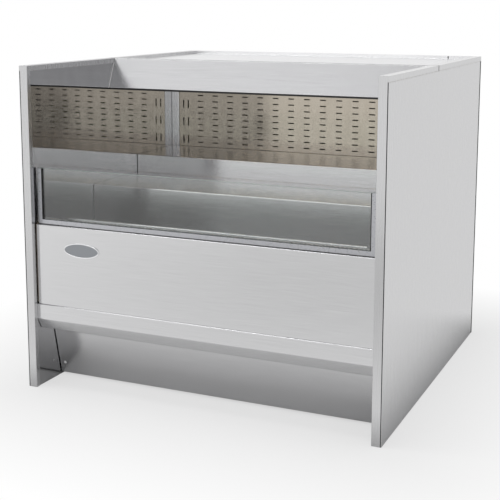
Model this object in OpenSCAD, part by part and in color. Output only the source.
// Open refrigerated display case with a stepped tank, a low front glass and a rear canopy.
// Sections are drawn in depth and height from the front edge of the end panels at the floor,
// and the finished case is moved back so that its footprint is centred on the origin.

/* [Case] */
// Width over the end panels
case_w = 1000; // [920:10:1250]
// Depth of the end panels
case_d = 980; // [960:5:1080]
// Height of the end panels
case_h = 875; // [865:5:960]
// Thickness of the stainless sheet
sheet_t = 1.2; // [0.8:0.1:1.6]
// Running gap between a loose sheet piece and its neighbour
gap = 1.2; // [0.8:0.1:2]

/* [End panels] */
// Thickness of an end panel over its trims
end_t = 25; // [18:1:40]
// Reach of the edge trims onto the inner face
trim_wrap = 14.5; // [10:0.5:18]
// Reach of the top trims down the outer face
trim_drop = 14; // [8:0.5:20]
// Length of the black joint between front and rear trims
joint_w = 5; // [3:0.5:8]
// Width of the dark joint between a front trim and the outer skin
skin_gap = 2; // [1:0.2:3]
// Width of the dark strip down the rear edge of an outer skin
edge_strip = 12; // [6:1:20]

/* [Front] */
// Depth of the front panel behind the trims' inner edge
panel_set = 2; // [1:0.5:6]
// Visible gap between the front panel and each end panel
side_gap = 4; // [2:0.5:8]
// Height of the bumper rail's top edge
bumper_z = 233; // [215:1:260]
// Height of the bumper rail's upright face
bumper_h = 41; // [30:1:50]
// How far the bumper rail stands in front of the front panel
bumper_proud = 2.6; // [1:0.2:4]
// Height of the sloped undercut below the bumper face
undercut_h = 31; // [20:1:34]
// Depth of the sloped undercut
undercut_d = 17; // [8:1:30]
// Depth at which the kick plate meets the undercut
kick_top_y = 87; // [60:1:100]
// Depth of the kick plate's bottom edge
kick_foot_y = 120; // [105:1:130]
// Clearance between the kick plate and the floor
kick_clear = 6; // [4:1:15]
// Height of the kick plate screws
screw_z = 38; // [34:1:44]
// Distance of the kick plate screws from the end panels
screw_in = 17; // [14:1:30]

/* [Glass] */
// Height of the tank rim that the glass channel stands on
rim_z = 452; // [440:1:465]
// Thickness of the front glass
glass_t = 6; // [4:1:8]
// Height of the glass top edge
glass_top_z = 603; // [560:1:640]
// Height of the glass channel
channel_h = 13; // [10:1:20]
// Wall thickness of the glass channel
channel_t = 2; // [1.5:0.1:3]
// Thickness of the glazing rubber on each side of the glass
rubber_t = 1.5; // [1:0.1:2.5]
// How far the rubber shows inside the upright channels
rubber_lip = 3; // [1:0.5:5]

/* [Tank] */
// Depth of the tank shell's front face behind the front panel's face
shell_set = 11.5; // [10:0.5:16]
// Depth of the step between the front and rear floors, outside
step_y = 338; // [325:1:345]
// Height of the tank's rear floor, outside
step_z = 300; // [292:1:305]
// Insulation thickness in the front wall
front_foam_t = 27; // [20:1:32]
// Insulation thickness in the floors and the step
floor_foam_t = 45; // [38:1:48]
// Insulation thickness in the rear wall
rear_foam_t = 62; // [45:1:70]
// Depth of the service chase behind the tank
chase_d = 52; // [45:1:60]
// Depth of the rear cover's face behind the trims' rear edge
cover_set = 12; // [9:1:14]
// Depth of the air duct behind the rear baffle
duct_d = 50; // [35:1:60]

/* [Decks] */
// Depth of the product stop behind the end panels' front edge
stop_y = 101; // [95:1:115]
// Height of the lowest deck
deck1_z = 377; // [372:1:385]
// Height of the product stop's top edge
stop_top_z = 457; // [453:1:475]
// Distance of the product stop's ends from the end panels
stop_in = 52; // [30:1:80]
// Depth of the second deck's front face
deck2_y = 312; // [305:1:318]
// Height of the second deck
deck2_z = 515; // [510:1:525]
// Depth of the third deck's front face
deck3_y = 566; // [550:1:600]
// Height of the third deck
deck3_z = 570; // [555:1:600]
// Width of the ledges that carry the decks
ledge_w = 20; // [15:1:30]
// Width of the light posts in the rear corners
post_w = 27; // [20:1:35]

/* [Air slots] */
// Length of a baffle slot
slot_l = 20; // [14:1:26]
// Width of a baffle slot
slot_w = 3.6; // [2.5:0.1:5]
// Spacing of the slots across the case
slot_pitch_x = 53; // [45:1:65]
// Spacing of the slot rows
slot_pitch_z = 19.2; // [15:0.2:24]
// Width across the flats of a honeycomb cell
cell_w = 12; // [9:0.5:16]
// Wall between honeycomb cells
cell_wall = 1.5; // [1:0.1:2.5]

/* [Canopy] */
// Depth of the fascia's top edge
fascia_top_y = 441; // [420:1:450]
// Depth of the fascia's bottom edge
fascia_foot_y = 403; // [380:1:415]
// Height of the fascia
fascia_h = 86; // [82:1:95]
// Height of the black lip below the fascia
lip_h = 4.5; // [3:0.5:8]
// How far the canopy top is sunk below the end panels
top_sunk = 10; // [6:1:14]
// Thickness of the canopy insulation
canopy_foam_t = 27; // [20:1:28]
// Width of the discharge honeycomb, front to rear
honeycomb_d = 49; // [40:1:60]

/* [Machine] */
// Height of the base pan above the floor
pan_z = 25; // [18:1:30]
// Thickness of the base pan
pan_t = 2; // [1.5:0.1:3]
// Radius of a levelling foot's stem
stem_r = 5; // [4:0.5:6]
// Radius of a levelling foot's pad
pad_r = 20; // [14:1:24]
// Radial clearance of the turning parts on their shafts
run_clear = 0.08; // [0.02:0.01:0.1]
// Radius of an evaporator fan
evap_fan_r = 64; // [50:1:68]
// Radius of the condenser fan
cond_fan_r = 96; // [70:1:100]
// Number of blades on a fan
blade_count = 5; // [3:1:7]
// Radius of the compressor shell
shell_r = 76; // [65:1:85]
// Height of the compressor shell
compressor_h = 165; // [140:1:180]
// Number of louvres in each bank of the rear cover
louvre_count = 9; // [4:1:10]
// Length of a louvre
louvre_l = 180; // [120:5:200]

/* [Hidden] */
$fn = 64;
eps = 0.01;

// Colours
BRUSHED = "#d2d3d3";
POLISHED = "#b9bbbc";
GALVANISED = "#a7adb0";
BLACK = "#1c1a1b";
FOAM = "#e6d9a8";
COPPER = "#b87442";
ALUMINIUM = "#cfd2d4";
WHITE = "#eeeeea";

// Widths between the end panels
half_w = case_w / 2;
clear_w = case_w - 2 * end_t - 0.4;
inner_w = case_w - 2 * end_t + 2 * sheet_t;
loose_w = inner_w - 2 * gap;
face_w = case_w - 2 * end_t - 2 * side_gap;

// Front face of the case, measured in from the end panels' front edge
panel_y = trim_wrap + panel_set;
bumper_y = panel_y - bumper_proud;
bumper_foot_z = bumper_z - bumper_h - undercut_h;
bumper_foot_y = bumper_y + undercut_d;
shell_y = panel_y + shell_set;

// The tank's front floor clears the undercut sheet, whose inner face slopes in below it
undercut_room = shell_y - bumper_y - sheet_t - 1;
shell_z = max(
    bumper_foot_z + sheet_t + 2,
    bumper_z - bumper_h - undercut_h * undercut_room / undercut_d);
joint_y = fascia_top_y + joint_w / 2 + 8.5;

// Glass and its channel
channel_d = 2 * channel_t + 2 * rubber_t + glass_t;
channel_y = shell_y - 3.5;
glass_y = channel_y + channel_t + rubber_t;
glass_foot_z = rim_z + channel_t + rubber_t;
glass_w = face_w - 2 * (channel_t + rubber_t);

// Tank section: foam side of the liner
wall_y = shell_y + sheet_t + front_foam_t;
floor_z = shell_z + sheet_t + floor_foam_t;
riser_y = step_y - sheet_t - floor_foam_t;
upper_z = step_z + sheet_t + floor_foam_t;
upper_top_z = upper_z + sheet_t;
cover_y = case_d - cover_set;
shell_back_y = cover_y - sheet_t - chase_d;
back_y = shell_back_y - sheet_t - rear_foam_t;
baffle_y = back_y - sheet_t - duct_d;
deck3_back_y = baffle_y - 4;
foam_joint = 0.2;

// Canopy levels
fascia_foot_z = case_h - fascia_h;
fascia_return = 24;
top_z = case_h - top_sunk;
foam_foot_z = top_z - sheet_t - canopy_foam_t;
roof_z = foam_foot_z - sheet_t;
hook_z = fascia_foot_z + sheet_t;
honeycomb_h = 15;
lamp_in = 40;
lamp_d = 24;
lamp_h = 9;
duct_front_y = fascia_foot_y + fascia_return - 4;
ceiling_y = duct_front_y + honeycomb_d + 1;
ceiling_z = hook_z + 6;
ceiling_foot_z = ceiling_z - sheet_t;

// Levelling feet and posts
foot_x = half_w - end_t - 55;
foot_front_y = kick_foot_y + 50;
foot_back_y = cover_y - 88;
post_leg = 30;
post_t = 3;
post_x = half_w - end_t - 5;
pan_top_z = pan_z + pan_t;
pan_front_y = kick_foot_y + 20;
pan_lip_z = pan_z + 35;

// Kick plate line
kick_top_z = bumper_foot_z - 0.3;
kick_run = [kick_foot_y - kick_top_y, kick_clear - kick_top_z];
kick_tilt = atan2(kick_run.x, -kick_run.y);
kick_x = face_w / 2 - screw_in + side_gap;
function kick_face_y(z) = kick_top_y + (kick_top_z - z) * tan(kick_tilt);

// Screws
screw_r = 2.1;
screw_hole_r = 2.4;
screw_head_r = 4.5;
screw_head_h = 2.6;
screw_l = 14;
rear_screw_z = pan_z + 18;
rear_screw_x = [for (i = [-1.5:1:1.5]) i * (clear_w - 60) / 3];

// Fans
plenum_y = step_y + 2;
evap_fan_x = 200;
evap_fan_z = upper_top_z + evap_fan_r + 18;
evap_hole_r = evap_fan_r + 7;
motor_bar_t = 3;
motor_bar_h = 16;
shaft_r = 4;
shaft_l = 24;
hub_l = 18;
hub_gap = 2;
blade_twist = 48;
blade_root = 1;
blade_tip = 2.5;
cond_w = 290;
cond_d = 42;
cond_h = 2 * cond_fan_r + 36;
cond_in = 200;
cond_x = cond_in - half_w + end_t;
cond_y = step_y + 60;
cond_skirt = 34;
cond_fan_z = pan_top_z + cond_h / 2;
cond_plate_y = cond_y + cond_d + cond_skirt;

// Evaporator coil
coil_end = 70;
coil_w = clear_w - 2 * coil_end;
coil_d = 200;
coil_h = 140;
coil_y = plenum_y + 92;
fin_t = 1;
tube_r = 5;
tube_stub = 2;
tube_end = 24;

// Compressor and lines
comp_in = 240;
comp_back = 368;
comp_x = half_w - end_t - comp_in;
comp_y = cover_y - comp_back;
mount_h = 12;
drain_r = 10;
drain_y = 200;
drain_run_z = 100;
catch_x = 0;
catch_y = step_y + 300;
catch_size = [240, 200, 48];
line_r = 6;
line_x = half_w - end_t - 30;
line_y = coil_y + coil_d + 60;
line_z = 250;
line_step = 26;
stub_dx = 42;
stub_dy = 26;
stub_h = 17;
stub_z = pan_top_z + mount_h + compressor_h + stub_h;

// Control box
box_in = 175;
box_x = half_w - end_t - box_in;
box_z = step_z + 60;
box_size = [150, 0, 110];
box_face = 0.8;
box_front_y = cover_y + box_face;
box_gap = 1.5;
switch_size = [13, 8, 22];
switch_x = box_x - 48;
switch_tilt = 7;
switch_pin_r = 1.5;
switch_y = box_front_y - 3;
key_r = 4;
key_gap = 0.3;
key_l = 6;
key_stand = 1.6;
key_x = box_x + 20;
key_step = 16;
box_mid_z = box_z + box_size.z / 2;
gland_x = box_x + 52;
gland_z = box_z + 24;

// Plain helpers

// Unit vector from a to b, and the vector a quarter turn to its left
function heading(a, b) = (b - a) / norm(b - a);
function left_of(d) = [-d.y, d.x];

// Corner i of a path moved to the left by t, with mitred corners
function mitre(path, i, t) =
    let (
        n = len(path),
        ahead = i == n - 1 ? heading(path[i - 1], path[i]) : heading(path[i], path[i + 1]),
        behind = i == 0 ? ahead : heading(path[i - 1], path[i]),
        a = left_of(behind),
        b = left_of(ahead)
    ) path[i] + t * (a + b) / (1 + a * b);

function ribbon(path, t) =
    concat(path, [for (i = [len(path) - 1:-1:0]) mitre(path, i, t)]);

// Moves a drawing made from the front edge so that the footprint is centred
module placed() {
    translate([0, -case_d / 2, 0]) children();
}

// Extrudes a section drawn in depth and height across the case
module across(w) {
    rotate([90, 0, 90]) linear_extrude(w, center = true) children();
}

// A sheet folded along a path of depth and height, t thick to the left of the path
module folded(path, w, t = sheet_t) {
    across(w) polygon(ribbon(path, t));
}

// A box between two corners given as [x, y, z]
module block(a, b) {
    translate(a) cube(b - a);
}

// A box across the case, centred, between two depths and two heights
module slab(w, y0, y1, z0, z1) {
    block([-w / 2, y0, z0], [w / 2, y1, z1]);
}

// A copy on each side of the case
module both_sides() {
    for (side = [0, 1]) mirror([side, 0, 0]) children();
}

// A round bar from one point to another
module rod(a, b, r) {
    d = b - a;
    translate(a)
        rotate([0, acos(d.z / norm(d)), atan2(d.y, d.x)])
            cylinder(h = norm(d), r = r, $fn = 32);
}

// A pipe through a list of points with round elbows
module pipe(points, r) {
    for (i = [0:len(points) - 2]) rod(points[i], points[i + 1], r);
    for (i = [1:len(points) - 2]) translate(points[i]) sphere(r = r, $fn = 32);
}

// End panels

module outer_skin() {
    color(BRUSHED)
        block([half_w - sheet_t, 0, 0], [half_w, case_d - edge_strip, case_h - trim_drop - 0.4]);
}

module inner_skin() {
    color(POLISHED)
        block(
            [inner_w / 2, sheet_t, 0],
            [inner_w / 2 + sheet_t, case_d - sheet_t, case_h - sheet_t]);
}

module end_core() {
    block(
        [inner_w / 2 + sheet_t, sheet_t, 0],
        [half_w - sheet_t, case_d - sheet_t, case_h - sheet_t]);
}

// Front trim: a web up the front edge, as wide as the panel only above the outer skin, one over
// the top, and flanges on both faces
module front_trim() {
    in_x = half_w - end_t;
    end_y = joint_y - joint_w / 2;
    color(BRUSHED) {
        block([in_x, 0, 0], [half_w - sheet_t - skin_gap, sheet_t, case_h]);
        block([in_x, 0, case_h - trim_drop], [half_w, sheet_t, case_h]);
        block([in_x, 0, 0], [in_x + sheet_t, trim_wrap, case_h]);
        block([in_x, 0, case_h - sheet_t], [half_w, end_y, case_h]);
        block([in_x, 0, case_h - trim_wrap], [in_x + sheet_t, end_y, case_h]);
        block([half_w - sheet_t, 0, case_h - trim_drop], [half_w, end_y, case_h]);
    }
}

// Rear trim: the same section over the top and down the rear edge
module rear_trim() {
    in_x = half_w - end_t;
    from_y = joint_y + joint_w / 2;
    color(BRUSHED) {
        block([in_x, case_d - sheet_t, 0], [half_w - sheet_t, case_d, case_h]);
        block([in_x, case_d - trim_wrap, 0], [in_x + sheet_t, case_d, case_h]);
        block([in_x, from_y, case_h - sheet_t], [half_w, case_d, case_h]);
        block([in_x, from_y, case_h - trim_wrap], [in_x + sheet_t, case_d, case_h]);
        block([half_w - sheet_t, from_y, case_h - trim_drop], [half_w, case_d, case_h]);
    }
}

// Black strips: across the joint of the two trims, and along both upright edges of the outer skin
module trim_joint_strips() {
    in_x = half_w - end_t;
    skin_x = half_w - sheet_t;
    a = joint_y - joint_w / 2;
    b = joint_y + joint_w / 2;
    color(BLACK) both_sides() {
        block([in_x, a, case_h - sheet_t], [half_w, b, case_h]);
        block([in_x, a, case_h - trim_wrap], [in_x + sheet_t, b, case_h]);
        block([skin_x, a, case_h - trim_drop], [half_w, b, case_h]);
        block([skin_x - skin_gap, sheet_t / 3, 0], [skin_x, sheet_t, case_h - trim_drop]);
        block([skin_x, case_d - edge_strip, 0], [half_w, case_d, case_h - trim_drop]);
    }
}

module end_panel_cores() {
    color(FOAM) both_sides() end_core();
}

// Base

module foot_sites() {
    for (x = [-foot_x, foot_x], y = [foot_front_y, foot_back_y]) translate([x, y, 0]) children();
}

// Block behind the kick plate that its corner screw bites into
module kick_bracket() {
    low = screw_z - 10;
    high = screw_z + 10;
    back = sheet_t / cos(kick_tilt);
    rotate([90, 0, 90]) linear_extrude(20, center = true) polygon([
        [kick_face_y(low) + back, low],
        [pan_front_y + eps, low],
        [pan_front_y + eps, high],
        [kick_face_y(high) + back, high]]);
}

// Places a child on the kick plate's face at screw height, its -Y pointing out of the face
module on_kick_face() {
    translate([0, kick_face_y(screw_z), screw_z]) rotate([kick_tilt, 0, 0]) children();
}

module base_pan() {
    color(GALVANISED) difference() {
        union() {
            folded([
                [pan_front_y, pan_lip_z],
                [pan_front_y, pan_z],
                [cover_y - sheet_t, pan_z],
                [cover_y - sheet_t, pan_lip_z]], inner_w, pan_t);
            foot_sites() translate([0, 0, pan_z - 8]) cylinder(h = 8 + eps, r = 3 + stem_r * 1.6);
            for (s = [-1, 1]) translate([s * kick_x, 0, 0]) kick_bracket();
        }
        foot_sites() translate([0, 0, pan_z - 10]) cylinder(h = 20, r = stem_r + run_clear);
        both_sides() block(
            [half_w - end_t - gap, case_d - trim_wrap - gap, 0],
            [half_w, case_d, pan_lip_z + gap]);
        for (s = [-1, 1]) translate([s * kick_x, 0, 0]) on_kick_face()
            rotate([-90, 0, 0]) cylinder(h = 40, r = screw_hole_r, $fn = 32);
        for (x = rear_screw_x) translate([x, cover_y - 20, rear_screw_z])
            rotate([-90, 0, 0]) cylinder(h = 40, r = screw_hole_r, $fn = 32);
    }
}

// Angle posts from the base pan to the two floors of the tank
module angle_post(h) {
    linear_extrude(h) polygon([
        [0, 0], [post_leg, 0], [post_leg, post_t], [post_t, post_t],
        [post_t, post_leg], [0, post_leg]]);
}

module frame_posts() {
    color(GALVANISED) both_sides() {
        translate([post_x, pan_front_y + 8, pan_top_z]) rotate([0, 0, 90])
            angle_post(shell_z - pan_top_z);
        translate([post_x, shell_back_y - 12, pan_top_z]) rotate([0, 0, 180])
            angle_post(step_z - pan_top_z);
    }
}

module levelling_foot(x, y) {
    color(GALVANISED) translate([x, y, 0]) {
        cylinder(h = 4, r = pad_r);
        translate([0, 0, 4]) cylinder(h = 3, r1 = pad_r, r2 = stem_r + 5);
        translate([0, 0, 7]) cylinder(h = 6, r = stem_r * 1.8, $fn = 6);
        cylinder(h = pan_top_z + 22, r = stem_r);
    }
}

module kick_plate() {
    color(BRUSHED) difference() {
        folded([
            [kick_top_y + 14, kick_top_z],
            [kick_top_y, kick_top_z],
            [kick_foot_y, kick_clear],
            [kick_foot_y + 14, kick_clear]], face_w);
        for (s = [-1, 1]) translate([s * kick_x, 0, 0]) on_kick_face()
            rotate([-90, 0, 0]) cylinder(h = 20, r = screw_hole_r, center = true, $fn = 32);
    }
}

// Pan-head screw: its head stands on y = 0 towards -Y, its shank runs towards +Y
module screw() {
    dome_r = (screw_head_r * screw_head_r + screw_head_h * screw_head_h) / (2 * screw_head_h);
    rotate([-90, 0, 0]) cylinder(h = screw_l, r = screw_r, $fn = 32);
    intersection() {
        translate([0, dome_r - screw_head_h, 0]) sphere(r = dome_r);
        rotate([90, 0, 0]) cylinder(h = 2 * screw_head_h, r = 2 * screw_head_r);
    }
}

module panel_screws() {
    color(ALUMINIUM) {
        for (s = [-1, 1]) translate([s * kick_x, 0, 0]) on_kick_face() screw();
        for (x = rear_screw_x) translate([x, cover_y, rear_screw_z]) rotate([0, 0, 180]) screw();
    }
}

// Front

module bumper_rail() {
    color(BRUSHED) folded([
        [shell_y, bumper_z],
        [bumper_y, bumper_z],
        [bumper_y, bumper_z - bumper_h],
        [bumper_foot_y, bumper_foot_z],
        [kick_top_y + 30, bumper_foot_z]], clear_w);
}

// Front panel: a shallow tray with a folded edge all round
module front_panel() {
    depth = channel_y - panel_y - 0.5;
    color(BRUSHED) difference() {
        slab(face_w, panel_y, panel_y + depth, bumper_z, rim_z);
        slab(
            face_w - 2 * sheet_t, panel_y + sheet_t, panel_y + depth + 1,
            bumper_z + sheet_t, rim_z - sheet_t);
    }
}

// Channel under the glass and up both its ends, with its groove open inwards
module glass_channel() {
    color(BRUSHED) difference() {
        slab(face_w, channel_y, channel_y + channel_d, rim_z, glass_top_z);
        slab(
            face_w - 2 * channel_h, channel_y - 1, channel_y + channel_d + 1,
            rim_z + channel_h, glass_top_z + 1);
        slab(
            face_w - 2 * channel_t, channel_y + channel_t, channel_y + channel_d - channel_t,
            rim_z + channel_t, glass_top_z + 1);
    }
}

module front_glass() {
    color("#cfe3e2", 0.35) slab(glass_w, glass_y, glass_y + glass_t, glass_foot_z, glass_top_z);
}

// Rubber in the channel, round three sides of the glass
module glass_gaskets() {
    color(BLACK) difference() {
        slab(
            face_w - 2 * channel_t, channel_y + channel_t, channel_y + channel_d - channel_t,
            rim_z + channel_t, glass_top_z);
        slab(
            face_w - 2 * (channel_h + rubber_lip), channel_y, channel_y + channel_d,
            rim_z + channel_h - 1, glass_top_z + 1);
        slab(glass_w, glass_y, glass_y + glass_t, glass_foot_z, glass_top_z + 1);
    }
}

// Tank

function liner_path() = [
    [channel_y, rim_z - sheet_t],
    [wall_y, rim_z - sheet_t],
    [wall_y, floor_z],
    [riser_y, floor_z],
    [riser_y, upper_z],
    [back_y, upper_z],
    [back_y, roof_z]];

function shell_path() = [
    [shell_y, rim_z - sheet_t],
    [shell_y, shell_z],
    [step_y, shell_z],
    [step_y, step_z],
    [shell_back_y, step_z],
    [shell_back_y, roof_z]];

// Ways through the tank for the drain and the refrigerant lines
module tank_ways() {
    clearance = 0.5;
    translate([0, drain_y, shell_z - 5]) cylinder(h = 70, r = drain_r + clearance);
    for (dx = [0, -line_step]) translate([line_x + dx, line_y, step_z - 5])
        cylinder(h = 70, r = line_r + clearance);
}

module tank_shell() {
    color(GALVANISED) difference() {
        folded(shell_path(), inner_w);
        tank_ways();
    }
}

module tank_liner() {
    color(POLISHED) difference() {
        folded(liner_path(), inner_w);
        tank_ways();
    }
}

// Insulation boards with a narrow glued joint between them
module tank_insulation() {
    front_y = shell_y + sheet_t;
    low_z = shell_z + sheet_t;
    rear_y = step_y - sheet_t;
    rear_z = step_z + sheet_t;
    color(FOAM) difference() {
        union() {
            slab(inner_w, front_y, wall_y, low_z, rim_z - sheet_t);
            slab(inner_w, wall_y + foam_joint, rear_y, low_z, floor_z);
            slab(inner_w, riser_y, rear_y, floor_z + foam_joint, upper_z);
            slab(inner_w, rear_y + foam_joint, shell_back_y - sheet_t, rear_z, upper_z);
            slab(inner_w, back_y, shell_back_y - sheet_t, upper_z + foam_joint, roof_z);
        }
        tank_ways();
    }
}

// Ledges on the end panels under each deck
module deck_ledges() {
    t = 2;
    spans = [
        [stop_y + 5, deck2_y - 8, deck1_z - sheet_t],
        [deck2_y + 4, deck3_y - 6, deck2_z - sheet_t],
        [deck3_y + 4, deck3_back_y - 4, deck3_z - sheet_t]];
    color(BRUSHED) both_sides() for (s = spans) {
        block([inner_w / 2 - ledge_w, s[0], s[2] - t], [inner_w / 2, s[1], s[2]]);
        block([inner_w / 2 - t, s[0], s[2] - 16], [inner_w / 2, s[1], s[2]]);
    }
}

// Decks: each lies on its ledges and lifts straight up

module deck_pan() {
    color(BRUSHED) folded([
        [stop_y, deck1_z - 22],
        [stop_y, deck1_z],
        [deck2_y - 2, deck1_z],
        [deck2_y - 2, deck1_z - 18]], loose_w, -sheet_t);
}

module product_stop() {
    w = inner_w - 2 * stop_in;
    color(BRUSHED) folded([
        [stop_y + 16, deck1_z],
        [stop_y, deck1_z],
        [stop_y, stop_top_z],
        [stop_y + 8, stop_top_z]], w, -sheet_t);
}

module tier_two_shelf() {
    color(BRUSHED) folded([
        [deck2_y, deck1_z - 16],
        [deck2_y, deck2_z],
        [deck3_y - 2, deck2_z],
        [deck3_y - 2, deck2_z - 14]], loose_w, -sheet_t);
}

module tier_three_shelf() {
    color(BRUSHED) folded([
        [deck3_y, deck2_z - 10],
        [deck3_y, deck3_z],
        [deck3_back_y, deck3_z],
        [deck3_back_y, deck3_z - 14]], loose_w, -sheet_t);
}

// Return-air grille: a sheet with cross slots and a folded rear edge, lying on the tank rim
module return_grille() {
    y0 = channel_y + channel_d + gap;
    y1 = stop_y - gap;
    slot_y0 = wall_y + sheet_t + 3;
    pitch = 12;
    n = floor((loose_w - 30) / pitch);
    color(BRUSHED) difference() {
        folded([[y0, rim_z + sheet_t], [y1, rim_z + sheet_t], [y1, rim_z - 8]], loose_w, -sheet_t);
        for (i = [0:n - 1]) translate([(i - (n - 1) / 2) * pitch - 3, slot_y0, rim_z - 1])
            cube([6, y1 - slot_y0 - 6, 4]);
    }
}

// Rear baffle

// Outline of one slot with round ends, along x
module slot_shape(l, w) {
    square([l - w, w], center = true);
    for (s = [-1, 1]) translate([s * (l - w) / 2, 0]) circle(d = w, $fn = 16);
}

// Baffle drawn flat: rows of short slots, with pairs of upright slots beside the corner posts
module baffle_shape(h) {
    columns = floor((inner_w - 162) / slot_pitch_x);
    rows = floor((h - 40) / slot_pitch_z);
    difference() {
        square([inner_w, h]);
        for (i = [0:columns], k = [0:rows]) translate([
            inner_w / 2 + (i - columns / 2) * slot_pitch_x,
            h - 18 - k * slot_pitch_z]) slot_shape(slot_l, slot_w);
        for (x = [post_w + 16, post_w + 33], side = [0, 1], k = [0:floor(rows / 3)])
            translate([side == 0 ? x : inner_w - x, h - 28 - 3 * k * slot_pitch_z])
                rotate(90) slot_shape(slot_l * 1.35, slot_w * 1.2);
    }
}

module rear_baffle() {
    foot_z = deck3_z - 25;
    color(POLISHED) translate([-inner_w / 2, baffle_y + sheet_t, foot_z]) rotate([90, 0, 0])
        linear_extrude(sheet_t) baffle_shape(ceiling_foot_z - foot_z);
}

module corner_posts() {
    color(BRUSHED) both_sides() block(
        [inner_w / 2 - post_w, baffle_y - 3, deck3_z - 25],
        [inner_w / 2, baffle_y, ceiling_foot_z]);
}

// Evaporator

module fan_plenum() {
    top_z = deck2_z - sheet_t - 2;
    color(GALVANISED) difference() {
        slab(inner_w - 2 * ledge_w - 4, plenum_y, plenum_y + sheet_t, upper_top_z, top_z);
        for (s = [-1, 1]) translate([s * evap_fan_x, plenum_y - 1, evap_fan_z])
            rotate([-90, 0, 0]) cylinder(h = 5, r = evap_hole_r);
    }
}

// Motor on a bar behind a plate at y = 0, with its shaft out to the front
module motor(hole_r, body_r, body_l) {
    block(
        [-hole_r - 12, 0, -motor_bar_h / 2],
        [hole_r + 12, motor_bar_t, motor_bar_h / 2]);
    rotate([-90, 0, 0]) cylinder(h = motor_bar_t + body_l, r = body_r);
    rotate([90, 0, 0]) cylinder(h = shaft_l, r = shaft_r);
}

// Axial fan in front of the same plate: a hub on the shaft and blades twisted like a propeller's,
// wider towards the tip so that they keep their thickness where they lie flatter
module axial_fan(r) {
    hub_r = r * 0.27;
    translate([0, -hub_gap, 0]) rotate([90, 0, 0]) difference() {
        union() {
            cylinder(h = hub_l, r = hub_r);
            linear_extrude(hub_l, twist = -blade_twist, slices = 8, $fn = 8)
                for (i = [0:blade_count - 1]) rotate(i * 360 / blade_count) polygon([
                    [hub_r * 0.8, -blade_root], [r, -blade_tip],
                    [r, blade_tip], [hub_r * 0.8, blade_root]]);
        }
        translate([0, 0, -1]) cylinder(h = hub_l + 2, r = shaft_r + run_clear);
    }
}

module evaporator_motors() {
    color(GALVANISED) for (s = [-1, 1])
        translate([s * evap_fan_x, plenum_y + sheet_t, evap_fan_z]) motor(evap_hole_r, 28, 48);
}

module evaporator_fan(side) {
    color(BLACK) translate([side * evap_fan_x, plenum_y, evap_fan_z]) axial_fan(evap_fan_r);
}

// Half ring of tube towards +X between two tube ends on the Y axis
module return_bend(pitch) {
    rotate([0, 0, -90]) rotate_extrude(angle = 180)
        translate([pitch / 2, 0]) circle(r = tube_r, $fn = 24);
}

// Finned coil, standing on z = 0 behind y = 0: end plates, fins and one tube that runs to and fro
// along each row and climbs at the right end, from the column first to its last free end
module finned_coil(w, d, h, fins, rows, columns, first) {
    step_in = d / columns;
    rise = h / rows;
    last = rows % 2 == 0 ? first : columns - 1 - first;
    end_x = w / 2 + tube_stub;
    function at_tube(i, k) = [0, (k + 0.5) * step_in, (i + 0.5) * rise];
    color(ALUMINIUM) {
        for (i = [0:fins - 1]) translate([(i / (fins - 1) - 0.5) * (w - fin_t), d / 2, h / 2 + 3])
            cube([fin_t, d - 4, h - 6], center = true);
        for (s = [-1, 1]) translate([s * (w / 2 - 1), d / 2, h / 2])
            cube([2, d, h], center = true);
        for (i = [0:rows - 1], k = [0:columns - 1])
            translate(at_tube(i, k))
                rotate([0, 90, 0]) cylinder(h = 2 * end_x, r = tube_r, center = true, $fn = 24);
        for (i = [0:rows - 1], k = [0:columns - 2])
            translate(at_tube(i, k + 0.5)) mirror([1 - k % 2, 0, 0])
                translate([end_x, 0, 0]) return_bend(step_in);
        for (i = [0:1:rows - 2])
            translate(at_tube(i + 0.5, i % 2 == 0 ? columns - 1 - first : first))
                translate([end_x, 0, 0]) rotate([90, 0, 0]) return_bend(rise);
        for (free = [[0, first], [rows - 1, last]])
            translate(at_tube(free[0], free[1]) + [w / 2, 0, 0])
                rotate([0, 90, 0]) cylinder(h = tube_end, r = tube_r, $fn = 24);
    }
}

module evaporator_coil() {
    translate([0, coil_y, upper_top_z]) finned_coil(coil_w, coil_d, coil_h, 31, 4, 4, 3);
}

// Canopy

module canopy_fascia() {
    color(BRUSHED) folded([
        [fascia_top_y + 14, case_h],
        [fascia_top_y, case_h],
        [fascia_foot_y, fascia_foot_z],
        [fascia_foot_y + fascia_return, fascia_foot_z]], clear_w);
}

module fascia_lip() {
    color(BLACK) slab(
        clear_w, fascia_foot_y, fascia_foot_y + 8, fascia_foot_z - lip_h, fascia_foot_z);
}

// Sunken top sheet with a front edge under the fascia and an upstand at the rear
module canopy_top() {
    joint_x = clear_w / 2 - 78;
    color(BRUSHED) difference() {
        folded([
            [fascia_top_y + 16, case_h - sheet_t],
            [fascia_top_y + 16, top_z],
            [case_d - 3.2, top_z],
            [case_d - 3.2, case_h]], clear_w, -sheet_t);
        translate([joint_x, case_d - 4, top_z + 0.5]) cube([3, 5, top_sunk]);
    }
}

module canopy_foam() {
    color(FOAM) slab(
        clear_w, fascia_top_y + 16, cover_y - sheet_t, foam_foot_z, top_z - sheet_t);
}

// Roof of the air duct, turned down in front to guide the air into the honeycomb
module canopy_duct() {
    color(GALVANISED) folded([
        [shell_back_y, roof_z],
        [duct_front_y + 16, roof_z],
        [duct_front_y, hook_z + honeycomb_h + 3],
        [duct_front_y, hook_z]], clear_w, -sheet_t);
}

module canopy_ceiling() {
    color(BRUSHED) folded([
        [ceiling_y - 6, hook_z],
        [ceiling_y, hook_z],
        [ceiling_y, ceiling_z],
        [baffle_y + sheet_t, ceiling_z]], clear_w, -sheet_t);
}

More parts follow.
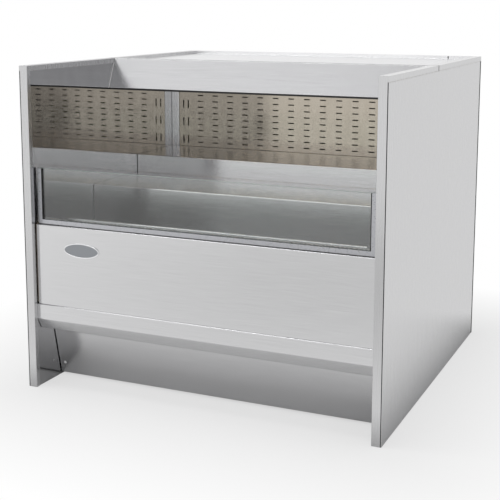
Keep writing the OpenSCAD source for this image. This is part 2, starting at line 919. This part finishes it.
// Honeycomb drawn flat: staggered rows of hexagonal cells
module honeycomb_shape(w, d) {
    pitch = cell_w + cell_wall;
    row = pitch * sin(60);
    columns = floor((w - 12) / pitch) - 1;
    rows = floor((d - cell_w - 4) / row);
    difference() {
        square([w, d]);
        for (k = [0:rows], i = [0:columns - k % 2])
            translate([
                w / 2 + (i - (columns - k % 2) / 2) * pitch,
                d / 2 + (k - rows / 2) * row])
                rotate(30) circle(d = cell_w / cos(30), $fn = 6);
    }
}

module air_honeycomb() {
    color(BLACK) translate([-clear_w / 2, duct_front_y + 0.4, hook_z])
        linear_extrude(honeycomb_h) honeycomb_shape(clear_w, honeycomb_d + 0.2);
}

module lamp_channel() {
    y = ceiling_y + 8;
    w = clear_w - 2 * lamp_in;
    color(ALUMINIUM) difference() {
        slab(w, y, y + lamp_d, ceiling_foot_z - lamp_h, ceiling_foot_z);
        slab(w + 2, y + 2, y + lamp_d - 2, ceiling_foot_z - lamp_h - 1, ceiling_foot_z - 2);
    }
}

module lamp_lens() {
    y = ceiling_y + 10;
    color(WHITE) slab(
        clear_w - 2 * lamp_in, y, y + lamp_d - 4, ceiling_foot_z - lamp_h, ceiling_foot_z - 3);
}

// Machine compartment

// Pressed louvre: a quarter-round hood over a slot, open on its lower side
module louvre_hood(l, r) {
    intersection() {
        rotate([0, 90, 0]) cylinder(h = l, r = r, center = true, $fn = 32);
        block([-l, -2 * sheet_t, 0], [l, r, r]);
    }
}

module louvre_sites() {
    bank_x = louvre_l / 2 + 30;
    for (s = [-1, 1], i = [0:louvre_count - 1])
        translate([s * bank_x, cover_y, pan_lip_z + 25 + i * 22]) children();
}

// Rear cover: a tray as deep as the chase, with two banks of louvres and a window for the controls
module rear_cover() {
    hood_r = 7;
    color(GALVANISED) difference() {
        union() {
            slab(clear_w, cover_y - sheet_t, cover_y, pan_z, top_z - sheet_t);
            both_sides() block(
                [clear_w / 2 - sheet_t, shell_back_y + 0.3, step_z],
                [clear_w / 2, cover_y, roof_z - 0.5]);
            intersection() {
                louvre_sites() louvre_hood(louvre_l, hood_r);
                slab(case_w, cover_y - sheet_t, case_d, 0, case_h);
            }
        }
        louvre_sites() translate([0, 0, -eps])
            louvre_hood(louvre_l - 2 * sheet_t, hood_r - sheet_t);
        block(
            [box_x - box_size.x / 2 - box_gap, cover_y - 5, box_z - box_gap],
            [box_x + box_size.x / 2 + box_gap, cover_y + 5, box_z + box_size.z + box_gap]);
        for (x = rear_screw_x) translate([x, cover_y - 5, rear_screw_z])
            rotate([-90, 0, 0]) cylinder(h = 10, r = screw_hole_r, $fn = 32);
    }
}

// Hermetic compressor: domed shell with a weld band on a footed plate, and two line stubs
module compressor() {
    dome_h = shell_r * 0.5;
    wall_h = compressor_h - dome_h;
    color("#2c2d30") translate([comp_x, comp_y, pan_top_z]) {
        for (x = [-1, 1], y = [-1, 1]) translate([x * 68, y * 56, 0])
            cylinder(h = mount_h + eps, r = 10);
        block([-84, -70, mount_h], [84, 70, mount_h + 3]);
        translate([0, 0, mount_h + 3 - eps]) rotate_extrude() polygon(concat(
            [[0, 0], [shell_r - 8, 0], [shell_r, 10]],
            [for (a = [0:15:90]) [shell_r * cos(a), wall_h + dome_h * sin(a)]]));
        translate([0, 0, wall_h * 0.6]) cylinder(h = 6, r = shell_r + 3);
        for (y = [-1, 1]) translate([stub_dx, y * stub_dy, wall_h])
            cylinder(h = stub_z - pan_top_z - wall_h, r = line_r + 1);
    }
}

module condenser_coil() {
    translate([cond_x, cond_y, pan_top_z]) finned_coil(cond_w, cond_d, cond_h, 25, 4, 2, 0);
}

// Shroud from the condenser to the fan plate, with the fan's motor on the plate
module condenser_shroud() {
    hole_r = cond_fan_r + 7;
    color(GALVANISED) translate([cond_x, cond_plate_y, 0]) {
        difference() {
            slab(cond_w, -cond_skirt, sheet_t, pan_top_z, pan_top_z + cond_h);
            slab(
                cond_w - 2 * sheet_t, -cond_skirt - 1, 0,
                pan_top_z + sheet_t, pan_top_z + cond_h - sheet_t);
            translate([0, -1, cond_fan_z]) rotate([-90, 0, 0]) cylinder(h = 5, r = hole_r);
        }
        translate([0, sheet_t, cond_fan_z]) motor(hole_r, 40, 52);
    }
}

module condenser_fan() {
    color(BLACK) translate([cond_x, cond_plate_y, cond_fan_z]) axial_fan(cond_fan_r);
}

module condensate_pan() {
    wall = 2;
    color(BLACK) translate([catch_x, catch_y, pan_top_z]) difference() {
        slab(catch_size.x, -catch_size.y / 2, catch_size.y / 2, 0, catch_size.z);
        slab(
            catch_size.x - 2 * wall, wall - catch_size.y / 2, catch_size.y / 2 - wall,
            wall, catch_size.z + 1);
    }
}

// Drain tube: flange on the tank floor, down through it, back and down into the pan
module drain_tube() {
    end_z = pan_top_z + catch_size.z - 16;
    color(WHITE) {
        translate([0, drain_y, floor_z + sheet_t]) cylinder(h = 2, r = drain_r + 8);
        pipe([
            [0, drain_y, floor_z + sheet_t + 1],
            [0, drain_y, drain_run_z],
            [catch_x, catch_y, drain_run_z],
            [catch_x, catch_y, end_z]], drain_r);
    }
}

// Suction, discharge and liquid lines, the last with a filter drier
module refrigerant_lines() {
    coil_end_x = coil_w / 2 + tube_end;
    coil_tube_y = coil_y + coil_d * 7 / 8;
    low_z = upper_top_z + coil_h / 8;
    high_z = upper_top_z + coil_h * 7 / 8;
    stub_x = comp_x + stub_dx;
    cond_end_x = cond_x + cond_w / 2 + tube_end;
    cond_tube_y = cond_y + cond_d / 4;
    cond_low_z = pan_top_z + cond_h / 8;
    cond_high_z = pan_top_z + cond_h * 7 / 8;
    second_x = line_x - line_step;
    cross_z = stub_z + 14;
    color(COPPER) {
        pipe([
            [stub_x, comp_y - stub_dy, stub_z],
            [stub_x, comp_y - stub_dy, line_z],
            [line_x, comp_y - stub_dy, line_z],
            [line_x, line_y, line_z],
            [line_x, line_y, low_z],
            [line_x, coil_tube_y, low_z],
            [coil_end_x, coil_tube_y, low_z]], line_r);
        pipe([
            [stub_x, comp_y + stub_dy, stub_z],
            [stub_x, comp_y + stub_dy, cross_z],
            [cond_end_x + 40, comp_y + stub_dy, cross_z],
            [cond_end_x + 40, cond_tube_y, cross_z],
            [cond_end_x + 40, cond_tube_y, cond_high_z],
            [cond_end_x, cond_tube_y, cond_high_z]], line_r);
        pipe([
            [cond_end_x, cond_tube_y, cond_low_z],
            [second_x, cond_tube_y, cond_low_z],
            [second_x, line_y, cond_low_z],
            [second_x, line_y, high_z],
            [line_x, line_y, high_z],
            [line_x, coil_tube_y, high_z],
            [coil_end_x, coil_tube_y, high_z]], line_r);
        translate([0, cond_tube_y, cond_low_z]) rotate([0, 90, 0]) cylinder(h = 90, r = 15);
    }
}

// Controls

// Wiring box on the back of the tank: a switch pocket, two key holes and a cord gland
module control_box() {
    w = box_size.x;
    pocket = switch_size + [0.8, 0, 3.2];
    color("#3a3b3d") difference() {
        union() {
            block([box_x - w / 2, shell_back_y, box_z], [box_x + w / 2, box_front_y, box_z + box_size.z]);
            translate([gland_x, box_front_y - 1, gland_z]) rotate([-90, 0, 0])
                cylinder(h = 7, r = 11, $fn = 8);
        }
        translate([gland_x, box_front_y - 20, gland_z]) rotate([-90, 0, 0])
            cylinder(h = 40, r = 5);
        translate([switch_x, switch_y, box_mid_z]) {
            block(
                [-pocket.x / 2, -pocket.y - 1, -pocket.z / 2],
                [pocket.x / 2, 10, pocket.z / 2]);
            rotate([0, 90, 0]) cylinder(h = pocket.x + 5, r = switch_pin_r + run_clear, center = true);
        }
        for (i = [0, 1]) translate([key_x + i * key_step, box_front_y + 1, box_mid_z])
            rotate([90, 0, 0]) cylinder(h = key_l + 4, r = key_r + key_gap);
    }
}

// Rocker with a shallow V face, tipped one way, on a pin through its sides
module light_switch() {
    h = switch_size.z / 2;
    color(BLACK) translate([switch_x, switch_y, box_mid_z]) rotate([-switch_tilt, 0, 0]) {
        across(switch_size.x) polygon([[-5, -h], [4.5, -h], [3, 0], [4.5, h], [-5, h]]);
        rotate([0, 90, 0])
            cylinder(h = switch_size.x + 4.6, r = switch_pin_r, center = true);
    }
}

module key(i) {
    color(WHITE) translate([key_x + i * key_step, box_front_y + key_stand, box_mid_z])
        rotate([90, 0, 0]) cylinder(h = key_l + key_stand, r = key_r);
}

placed() mirror([1, 0, 0]) outer_skin();  // left_outer_skin
placed() mirror([1, 0, 0]) inner_skin();  // left_inner_skin
placed() mirror([1, 0, 0]) front_trim();  // left_front_trim
placed() mirror([1, 0, 0]) rear_trim();  // left_rear_trim
placed() outer_skin();  // right_outer_skin
placed() inner_skin();  // right_inner_skin
placed() front_trim();  // right_front_trim
placed() rear_trim();  // right_rear_trim
placed() end_panel_cores();
placed() trim_joint_strips();
placed() base_pan();
placed() frame_posts();
placed() levelling_foot(-foot_x, foot_front_y);  // levelling_foot_1
placed() levelling_foot(foot_x, foot_front_y);  // levelling_foot_2
placed() levelling_foot(-foot_x, foot_back_y);  // levelling_foot_3
placed() levelling_foot(foot_x, foot_back_y);  // levelling_foot_4
placed() kick_plate();
placed() panel_screws();
placed() bumper_rail();
placed() front_panel();
placed() glass_channel();
placed() front_glass();
placed() glass_gaskets();
placed() product_stop();
placed() return_grille();
placed() tank_shell();
placed() tank_liner();
placed() tank_insulation();
placed() deck_ledges();
placed() deck_pan();
placed() tier_two_shelf();
placed() tier_three_shelf();
placed() rear_baffle();
placed() corner_posts();
placed() fan_plenum();
placed() evaporator_motors();
placed() evaporator_fan(-1);  // evaporator_fan_left
placed() evaporator_fan(1);  // evaporator_fan_right
placed() evaporator_coil();
placed() canopy_fascia();
placed() fascia_lip();
placed() canopy_top();
placed() canopy_foam();
placed() canopy_duct();
placed() canopy_ceiling();
placed() air_honeycomb();
placed() lamp_channel();
placed() lamp_lens();
placed() rear_cover();
placed() compressor();
placed() condenser_coil();
placed() condenser_shroud();
placed() condenser_fan();
placed() condensate_pan();
placed() drain_tube();
placed() refrigerant_lines();
placed() control_box();
placed() light_switch();
placed() key(0);  // key_up
placed() key(1);  // key_down
